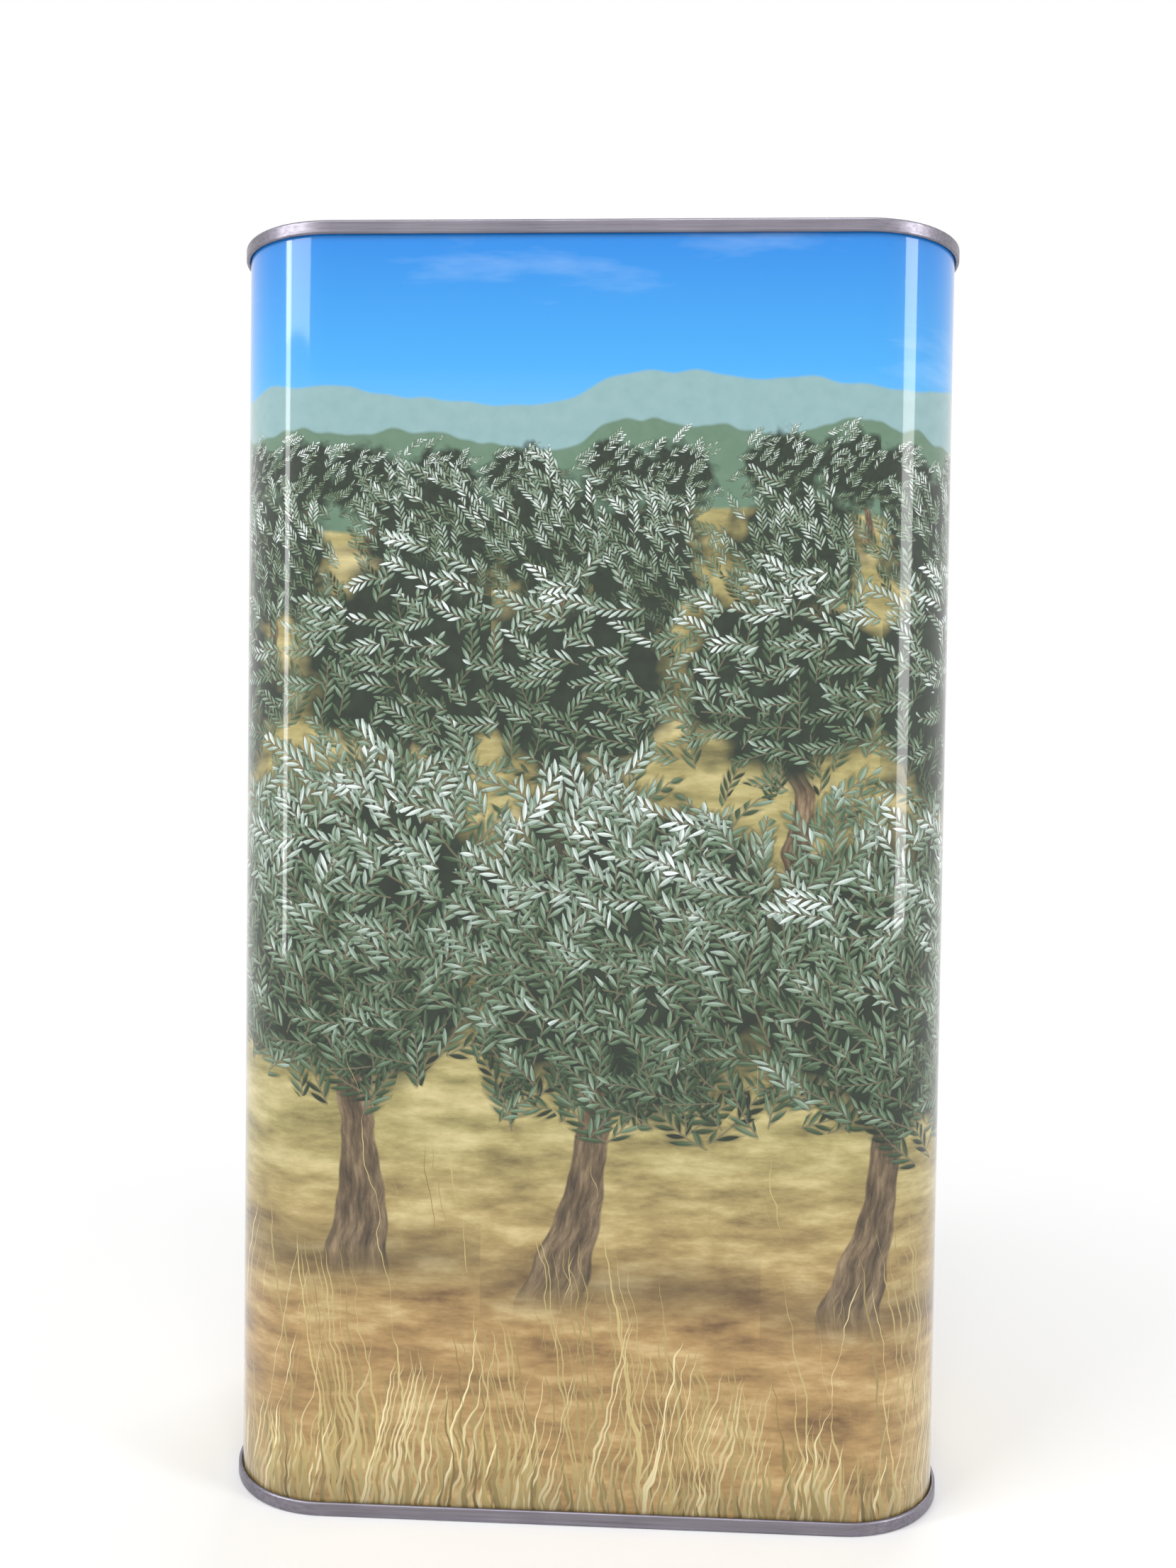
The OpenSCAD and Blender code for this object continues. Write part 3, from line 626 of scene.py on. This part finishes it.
def straw(node, place, blade, result):
    """Blades of dry grass in front, each a narrow leaning cell that thins to a tip."""
    lean, wide, tall, dark, pale = blade
    along, height = [
        node("VectorMath:DOT_PRODUCT", place, axis, out="Value") for axis in (X_AXIS, Y_AXIS)
    ]
    slanted = node("Math:MULTIPLY_ADD", height, lean, along)
    wave = node("TexNoise", {"Vector": place, "Scale": WAVE_PER_MM})
    slanted = node("Math:MULTIPLY_ADD", wave, WAVE_MM, slanted)
    scattered = {"W": node("Math:DIVIDE", slanted, wide), "Scale": 1.0, "Randomness": 1.0}
    cell = node("TexVoronoi", scattered, voronoi_dimensions="1D").node.outputs
    luck = [
        node("VectorMath:DOT_PRODUCT", cell["Color"], axis, out="Value")
        for axis in (X_AXIS, Y_AXIS, Z_AXIS)
    ]
    tip = node("Math:MULTIPLY_ADD", luck[0], tall * BLADE_VARIES, tall * BLADE_SHORTEST)
    patch = node("TexNoise", {"Vector": place, "Scale": PATCH_PER_MM, "Detail": 2.0})
    tip = node("Math:MULTIPLY", tip, node("MapRange", patch, *PATCH_HEIGHTS))
    thin = node("MapRange", node("Math:DIVIDE", height, tip), 0.0, 1.0, BLADE_HALF, 0.0)
    mask = node("MapRange", node("Math:SUBTRACT", thin, cell["Distance"]), 0.0, BLADE_SOFT)
    stalk = node("Mix", {0: luck[1], 6: colour(dark), 7: colour(pale)}, **MIX_COLOURS)
    low = node("MapRange", height, ROOT_MM, 0.0, 0.0, ROOT_DARK)
    stalk = node("Mix", {0: low, 6: stalk, 7: colour("#4a3a20")}, **MIX_COLOURS)
    mask = node("Math:MULTIPLY", mask, node("Math:GREATER_THAN", luck[2], BLADES_DROPPED))
    return node("Mix", {0: mask, 6: result, 7: stalk}, **MIX_COLOURS)


print("straw:", len(STRAW), "layers of blades")

# %% [markdown]
# Cycles works out a shader's nodes in the order in which their inputs are known, and it has little
# room for results that wait to be used. So each layer takes its place from the layer below it. The
# place moves by a ten-millionth of that layer's colour, far too little to see, and the layers then
# come one at a time.

# %% The grove
TREE_ROWS = [
    # spacing, crown's middle, crown's radius, size of the sprigs, layers of sprigs
    (15, 208, 9.5, 0.34, 1),
    (25, 193, 17, 0.5, 2),
    (40, 166, 28, 0.75, 2),
    (66, 116, 46, 1.0, 5),
]
ROW_SHIFT = 3.7
HEADINGS = [82, 38, 128, 100, 62, 150, 20, 112]
HEADING_BY_ROW = 9
CROWN_DARK_FROM, CROWN_DARK_FULL = 0.06, 0.3
CROWN_HOLES = 9
LATER = (1e-7, 1e-7, 0.0)


def tree_row(node, place, number, seed, result):
    """A row of trees: shadows and trunks, the dark inside of the crowns, and the leaves over it."""
    row = TREE_ROWS[number]
    spacing, middle, radius, _, layers = row
    place = node("VectorMath:MULTIPLY_ADD", result, LATER, place)
    height = node("VectorMath:DOT_PRODUCT", place, Y_AXIS, out="Value")
    shift = ROW_SHIFT * number
    share, chance, dx, dz = crown_share(node, place, spacing, middle, radius, shift)
    result = trunks(node, height, radius, chance, dx, dz, result)
    inside = node("MapRange", share, CROWN_DARK_FROM, CROWN_DARK_FULL)
    holes = node("TexNoise", {"Vector": place, "Scale": CROWN_HOLES / radius, "Detail": 3.0})
    dark = node("Mix", {0: holes, 6: colour("#0f160e"), 7: colour("#2c3b2a")}, **MIX_COLOURS)
    result = node("Mix", {0: inside, 6: result, 7: dark}, **MIX_COLOURS)
    for layer in range(layers):
        seed += 1
        heading = math.radians(HEADINGS[seed % len(HEADINGS)] + HEADING_BY_ROW * number)
        place = node("VectorMath:MULTIPLY_ADD", result, LATER, place)
        result = leaves(node, place, row, shift, layer, heading, seed, result)
    return place, seed, result


def grove():
    """The whole printed design's colour, as a group that takes the print's map in millimetres."""
    group, given, made = new_group("olive grove print", {"Place": "Vector"}, {"Colour": "Color"})
    node = partial(add, group)
    place = given["Place"]
    across, height = [
        node("VectorMath:DOT_PRODUCT", place, axis, out="Value") for axis in (X_AXIS, Y_AXIS)
    ]
    result = sky(node, place, height)
    result = hills(node, place, across, height, result)
    result = ground(node, place, across, height, result)
    seed = 0
    for number in range(len(TREE_ROWS)):
        place, seed, result = tree_row(node, place, number, seed, result)
    for blade in STRAW:
        place = node("VectorMath:MULTIPLY_ADD", result, LATER, place)
        result = straw(node, place, blade, result)
    plug_in(group, made, {"Colour": result})
    return group


GROVE = grove()
print("olive grove print:", len(GROVE.nodes), "nodes")

# %% [markdown]
# Printed tinplate is steel with a coat of tin, white enamel, inks and a stoved varnish. The varnish
# gives a sharp, slightly wavy mirror over the colours, like a coat on car paint, so the material is
# a rough dielectric under a clear coat. Beside the weld the sheet is left unprinted, because ink
# would spoil the weld: a bare strip shows there under thin clear lacquer.

# %% Material: varnished print
BARE_HALF_MM, BARE_EDGE_MM = 3.0, 0.1
WELD_LINE_MM = (0.6, 0.3)
ROLLER_GRAIN_MM = 0.35
GRAIN_ALONG_PER_MM = 0.04
PEEL_MM, PEEL_DEEP_MM = 1.2, 0.05


def varnished_print():
    """Offset print under stoved varnish: satin inks below a sharp clear coat, dimpled as it dried."""
    material, tree, sockets = new_finish(
        "varnished print on tinplate",
        {
            "Roughness": 0.36,
            "IOR": 1.5,
            "Specular IOR Level": 0.1,
            "Coat Weight": 1.0,
            "Coat Roughness": 0.06,
            "Coat IOR": 1.5,
        },
    )
    node = partial(add, tree)
    place = node("VectorMath:SCALE", {0: node("UVMap", uv_map="print"), "Scale": 1 / MM})
    design = node("Group", {"Place": place}, node_tree=GROVE)
    round_tin = node("VectorMath:DOT_PRODUCT", place, X_AXIS, out="Value")
    left_end, right_end = [
        node("Math:ABSOLUTE", node("Math:SUBTRACT", round_tin, weld))
        for weld in (WELD_U_MM - PERIMETER_MM, WELD_U_MM)
    ]
    gap = node("Math:MINIMUM", left_end, right_end)
    bare = node("MapRange", gap, BARE_HALF_MM + BARE_EDGE_MM, BARE_HALF_MM)
    weld_line = node("MapRange", gap, *WELD_LINE_MM)
    drawn = node("Mapping", {"Vector": place, "Scale": (1 / ROLLER_GRAIN_MM, GRAIN_ALONG_PER_MM, 1.0)})
    grain = node("TexNoise", {"Vector": drawn, "Scale": 1.0, "Detail": 3.0})
    plate = node("Mix", {0: grain, 6: colour("#8f8c90"), 7: colour("#b3b0b2")}, **MIX_COLOURS)
    plate = node("Mix", {0: weld_line, 6: plate, 7: colour("#5d5855")}, **MIX_COLOURS)
    printed = node("Mix", {0: bare, 6: design, 7: plate}, **MIX_COLOURS)
    peel = node("TexNoise", {"Vector": place, "Scale": 1 / PEEL_MM, "Detail": 1.0})
    dimples = node("Bump", {"Strength": 0.02, "Distance": PEEL_DEEP_MM * MM, "Height": peel})
    plug_in(tree, sockets, {"Base Color": printed, "Metallic": bare, "Coat Normal": dimples})
    return material


# %% [markdown]
# Inside, a food tin is lacquered, so that the oil never touches bare metal. The lacquer is clear
# and thin, and what the eye sees is the tin's mirror tinted gold. A metal with a gold colour gives
# that with no second layer.

# %% Material: gold lacquer inside
CLOUDY_MM = 18


def gold_lacquer():
    """Tinplate under clear epoxy-phenolic lacquer, as food tins have inside: a warm gold mirror."""
    material, tree, sockets = new_finish("gold lacquered tinplate", {"Metallic": 1.0, "Roughness": 0.3})
    node = partial(add, tree)
    place = node("TexCoord", out="Object")
    cloudy = node("TexNoise", {"Vector": place, "Scale": 1 / (CLOUDY_MM * MM), "Detail": 2.0})
    gold = node("Mix", {0: cloudy, 6: colour("#b99a55"), 7: colour("#cbb173")}, **MIX_COLOURS)
    plug_in(tree, sockets, {"Base Color": gold})
    return material


wall.data.materials.append(varnished_print())
wall.data.materials.append(gold_lacquer())
print("wall: varnished print outside, gold lacquer inside")

# %% [markdown]
# The two ends and the handle's saddles are stamped from plain tinplate. Rolling leaves fine lines
# along the sheet, and bare tin is a soft grey with a cast of violet. The seams wander a little where
# the seaming rolls have pressed them, so their reflections break into short pieces.

# %% Material: bare tinplate
ROLL_LINE_MM = 0.5
ROLL_STRETCH = 0.02
PATCH_MM = 14
SEAM_WAVE_MM, SEAM_WAVE_DEEP_MM = 7.0, 0.35
GRAIN_DEEP_MM = 0.05
GRAIN_SHARE = 0.7
CONTRAST = (0.3, 0.7)


def bare_tinplate():
    """Rolled and seamed tinplate: dull grey, streaked along the sheet, faintly wavy at the seams."""
    material, tree, sockets = new_finish("bare tinplate", {"Metallic": 1.0})
    node = partial(add, tree)
    place = node("TexCoord", out="Object")
    per_m = 1 / (ROLL_LINE_MM * MM)
    lines = node("Mapping", {"Vector": place, "Scale": (ROLL_STRETCH * per_m, per_m, per_m)})
    grain = node("TexNoise", {"Vector": lines, "Scale": 1.0, "Detail": 5.0, "Roughness": 0.65})
    patches = node("TexNoise", {"Vector": place, "Scale": 1 / (PATCH_MM * MM), "Detail": 3.0})
    faint = node("Math:MULTIPLY", patches, 1 - GRAIN_SHARE)
    mixed = node("Math:MULTIPLY_ADD", grain, GRAIN_SHARE, faint)
    share = node("MapRange", mixed, *CONTRAST)
    grey = node("Mix", {0: share, 6: colour("#6c6872"), 7: colour("#98949e")}, **MIX_COLOURS)
    dull = node("MapRange", mixed, *CONTRAST, 0.42, 0.3)
    waves = node("TexNoise", {"Vector": place, "Scale": 1 / (SEAM_WAVE_MM * MM), "Detail": 1.0})
    soft = node("Bump", {"Strength": 0.35, "Distance": SEAM_WAVE_DEEP_MM * MM, "Height": waves})
    rolled = {"Strength": 0.12, "Distance": GRAIN_DEEP_MM * MM, "Height": grain, "Normal": soft}
    plug_in(tree, sockets, {"Base Color": grey, "Roughness": dull, "Normal": node("Bump", rolled)})
    return material


# %% [markdown]
# The handle is drawn steel wire, tinned before it is bent. The drawing die leaves fine lines that
# run along it. The pattern is drawn out in both level directions, so its lines follow the bar and
# the legs alike as the handle lies flat, and they move with it. Lines that follow each bend would
# need a map along the wire, and the wire is too thin to show the difference.

# %% Material: tinned wire
DRAWN_ACROSS_MM, DRAWN_UP_MM = 1.5, 0.3
DRAWN_DEEP_MM = 0.04


def tinned_wire():
    """Drawn steel wire with a bright tin coat: smoother than the plate, with lines along the wire."""
    material, tree, sockets = new_finish("tinned steel wire", {"Metallic": 1.0})
    node = partial(add, tree)
    place = node("TexCoord", out="Object")
    across, up = 1 / (DRAWN_ACROSS_MM * MM), 1 / (DRAWN_UP_MM * MM)
    lines = node("Mapping", {"Vector": place, "Scale": (across, across, up)})
    drawn = node("TexNoise", {"Vector": lines, "Scale": 1.0, "Detail": 4.0})
    grey = node("Mix", {0: drawn, 6: colour("#a09ea2"), 7: colour("#c9c7c9")}, **MIX_COLOURS)
    dull = node("MapRange", drawn, *CONTRAST, 0.2, 0.32)
    scored = node("Bump", {"Strength": 0.15, "Distance": DRAWN_DEEP_MM * MM, "Height": drawn})
    plug_in(tree, sockets, {"Base Color": grey, "Roughness": dull, "Normal": scored})
    return material


# %% [markdown]
# The spout, its collar and the grip are injection-moulded polyethylene, a waxy plastic that lets a
# little light in. That needs some scattering below the surface, a low gloss, and the fine even
# texture of a spark-eroded mould. The cap and its band are the same plastic, coloured leaf green.

# %% Material: moulded polyethylene
FLOW_MM = 9
GRIT_MM, GRIT_DEEP_MM = 0.25, 0.03
LIGHT_REACH_MM = 1.2


def polyethylene(name, light, dark, roughness, scatter):
    """Injection-moulded polyethylene: waxy, satin, with a little light under the skin."""
    material, tree, sockets = new_finish(
        name,
        {
            "Roughness": roughness,
            "IOR": 1.51,
            "Subsurface Weight": scatter,
            "Subsurface Scale": LIGHT_REACH_MM * MM,
            "Subsurface Radius": (1.0, 0.8, 0.6),
        },
    )
    node = partial(add, tree)
    place = node("TexCoord", out="Object")
    flow = node("TexNoise", {"Vector": place, "Scale": 1 / (FLOW_MM * MM), "Detail": 3.0})
    waxy = node("Mix", {0: flow, 6: colour(dark), 7: colour(light)}, **MIX_COLOURS)
    grit = node("TexNoise", {"Vector": place, "Scale": 1 / (GRIT_MM * MM), "Detail": 2.0})
    eroded = node("Bump", {"Strength": 0.12, "Distance": GRIT_DEEP_MM * MM, "Height": grit})
    plug_in(tree, sockets, {"Base Color": waxy, "Normal": eroded})
    return material


# %% [markdown]
# The seams are filled with a dried rubber compound, the neck has a rubber gasket, and the cap holds
# a wad of expanded foam. All three are matt and show the grain of their small cells, so one
# function makes them, with the size of a cell as its measure.

# %% Material: sealing compound and foam
CELL_DEEP_MM = 0.05


def soft_seal(name, light, dark, cell_mm, roughness):
    """A matt rubber or foam, grained at the size of its cells."""
    material, tree, sockets = new_finish(name, {"Roughness": roughness, "IOR": 1.5})
    node = partial(add, tree)
    place = node("TexCoord", out="Object")
    cells = node("TexVoronoi", {"Vector": place, "Scale": 1 / (cell_mm * MM)})
    matt = node("Mix", {0: cells, 6: colour(dark), 7: colour(light)}, **MIX_COLOURS)
    pitted = node("Bump", {"Strength": 0.4, "Distance": CELL_DEEP_MM * MM, "Height": cells})
    plug_in(tree, sockets, {"Base Color": matt, "Normal": pitted})
    return material


# %% [markdown]
# The other pieces keep the exact shapes of the imported frame, and only take a finish.

# %% Finishes on the frame's solids
SMOOTH_ANGLE = math.radians(35)
ivory = polyethylene("moulded white polyethylene", "#ebe6d8", "#e2dccb", 0.38, 0.25)
leaf_green = polyethylene("moulded green polyethylene", "#34632f", "#2b5529", 0.32, 0.08)
tinplate = bare_tinplate()
wire = tinned_wire()
rubber = soft_seal("grey sealing compound", "#85827c", "#6d6a65", 0.5, 0.8)
foam = soft_seal("expanded foam wad", "#e4e1d6", "#cfcbbf", 0.3, 0.9)
FINISHES = {
    "top_end": tinplate,
    "bottom_end": tinplate,
    "ear_left": tinplate,
    "ear_right": tinplate,
    "handle_wire": wire,
    "handle_grip": ivory,
    "spout_collar": ivory,
    "spout_tube": ivory,
    "screw_cap": leaf_green,
    "tamper_band": leaf_green,
    "cap_liner": foam,
    "top_compound": rubber,
    "bottom_compound": rubber,
    "neck_gasket": rubber,
}
for name, finish in FINISHES.items():
    nodes[name].data.materials.clear()
    nodes[name].data.materials.append(finish)
    nodes[name].data.set_sharp_from_angle(angle=SMOOTH_ANGLE)
print("finishes:", len(set(FINISHES.values())), "materials on", len(FINISHES), "solids")

# %% [markdown]
# The tin stands on a pale floor that runs out into a white background. A camera ray sees the world
# and the far floor as plain white, and so do mirror rays, while the near floor still takes the tin's
# soft shadow. The world lights the object less strongly than it looks.

# %% World
FILL_STRENGTH = 0.42
WHITE = (1, 1, 1, 1)


def seen(node):
    """1 for the rays that look at the background, straight or by a mirror or glass, and 0 for light."""
    rays = node("LightPath").node.outputs
    bounced = node("Math:MAXIMUM", rays["Is Glossy Ray"], rays["Is Transmission Ray"])
    return node("Math:MAXIMUM", rays["Is Camera Ray"], bounced)


world = bpy.data.worlds.new("studio")
bpy.context.scene.world = world
world.use_nodes = True
node = partial(add, world.node_tree)
strength = node("MapRange", seen(node), 0.0, 1.0, FILL_STRENGTH, 1.0)
around = world.node_tree.nodes["Background"].inputs
around["Color"].default_value = WHITE
plug_in(world.node_tree, around, {"Strength": strength})
print("world: white to the eye, and a fill light of", FILL_STRENGTH)

# %% Floor
HALF_FLOOR_MM = 3000
LIT_MM, WHITE_MM = 90, 260


def white_paper():
    """A matt paper sweep, which is lit near the tin and turns plain white to the eye further out."""
    material, tree, _ = new_finish(
        "white paper sweep",
        {"Roughness": 0.9, "Base Color": colour("#fafafa"), "Specular IOR Level": 0.1},
    )
    node = partial(add, tree)
    eye_share = seen(node)
    away = node("VectorMath:LENGTH", node("TexCoord", out="Object"), out="Value")
    plain = node("Math:MULTIPLY", node("MapRange", away, LIT_MM * MM, WHITE_MM * MM), eye_share)
    lit = tree.nodes["Principled BSDF"].outputs[0]
    paper = node("MixShader", plain, lit, node("Emission", WHITE, 1.0))
    plug_in(tree, tree.nodes["Material Output"].inputs, {"Surface": paper})
    return material


half = HALF_FLOOR_MM * MM
floor_mesh = bpy.data.meshes.new("floor")
corners = [(-half, -half, 0), (half, -half, 0), (half, half, 0), (-half, half, 0)]
floor_mesh.from_pydata(corners, [], [(0, 1, 2, 3)])
floor_mesh.materials.append(white_paper())
floor = bpy.data.objects.new("floor", floor_mesh)
bpy.context.scene.collection.objects.link(floor)
print("floor:", 2 * half, "m wide")

# %% [markdown]
# The light is a studio's. A broad panel stands at the upper left, and narrow strips at the left and
# the right draw the long highlights down the rounded corners. A high fill from the front keeps its
# own reflection off the flat face, and a lamp behind lights the top and the far rim.

# %% Lamps
LAMPS = [
    # name, place, what it is aimed at, width and height, watts
    ("upper left panel", (-900, -700, 900), (0, 0, 130), (700, 700), 7),
    ("left strip", (-640, -330, 330), (0, 0, 150), (70, 700), 1.2),
    ("right strip", (800, -420, 380), (0, 0, 130), (220, 800), 3.6),
    ("front fill", (100, -1100, 1500), (0, 0, 130), (900, 500), 7.5),
    ("back light", (200, 900, 1000), (0, 0, 200), (900, 400), 5),
]
for name, place_mm, aim_mm, size_mm, watts in LAMPS:
    lamp = bpy.data.lights.new(name, "AREA")
    lamp.shape = "RECTANGLE"
    lamp.size, lamp.size_y = size_mm[0] * MM, size_mm[1] * MM
    lamp.energy = watts
    holder = bpy.data.objects.new(name, lamp)
    holder.location = Vector(place_mm) * MM
    holder.rotation_euler = (Vector(aim_mm) - Vector(place_mm)).to_track_quat("-Z", "Y").to_euler()
    bpy.context.scene.collection.objects.link(holder)
print("lamps:", len(LAMPS), "panels of", sum(lamp[-1] for lamp in LAMPS), "W in all")

# %% [markdown]
# The camera stands close, a little right of the tin's middle and above half its height. Its place,
# its turns and its lens come from the photograph's own perspective: how much the tin narrows
# towards the base, and where its four corners lie.

# %% Camera
LENS_MM, SENSOR_MM = 31.0, 36.0
AWAY_MM = 263.56
EYE_MM = (12.37, -(HALF_D_MM + AWAY_MM), 154.43)
YAW, PITCH, ROLL = 0.0469, -0.0264, 0.0132
NEAR_CLIP_M, FAR_CLIP_M = 0.01, 50
camera = bpy.data.cameras.new("camera")
camera.lens, camera.sensor_width, camera.sensor_fit = LENS_MM, SENSOR_MM, "AUTO"
camera.clip_start, camera.clip_end = NEAR_CLIP_M, FAR_CLIP_M
eye = bpy.data.objects.new("camera", camera)
bpy.context.scene.collection.objects.link(eye)
bpy.context.scene.camera = eye
level_right = Vector((math.cos(YAW), math.sin(YAW), 0))
level_ahead = Vector((-math.sin(YAW), math.cos(YAW), 0))
ahead = level_ahead * math.cos(PITCH) + Vector((0, 0, math.sin(PITCH)))
above = level_ahead * -math.sin(PITCH) + Vector((0, 0, math.cos(PITCH)))
right = level_right * math.cos(ROLL) + above * math.sin(ROLL)
up = level_right * -math.sin(ROLL) + above * math.cos(ROLL)
eye.matrix_world = Matrix.Translation(Vector(EYE_MM) * MM) @ Matrix((right, up, -ahead)).transposed().to_4x4()
print("camera:", LENS_MM, "mm lens at", EYE_MM)

# %% Colour management
bpy.context.scene.view_settings.view_transform = "Standard"
print("view:", bpy.context.scene.view_settings.view_transform)
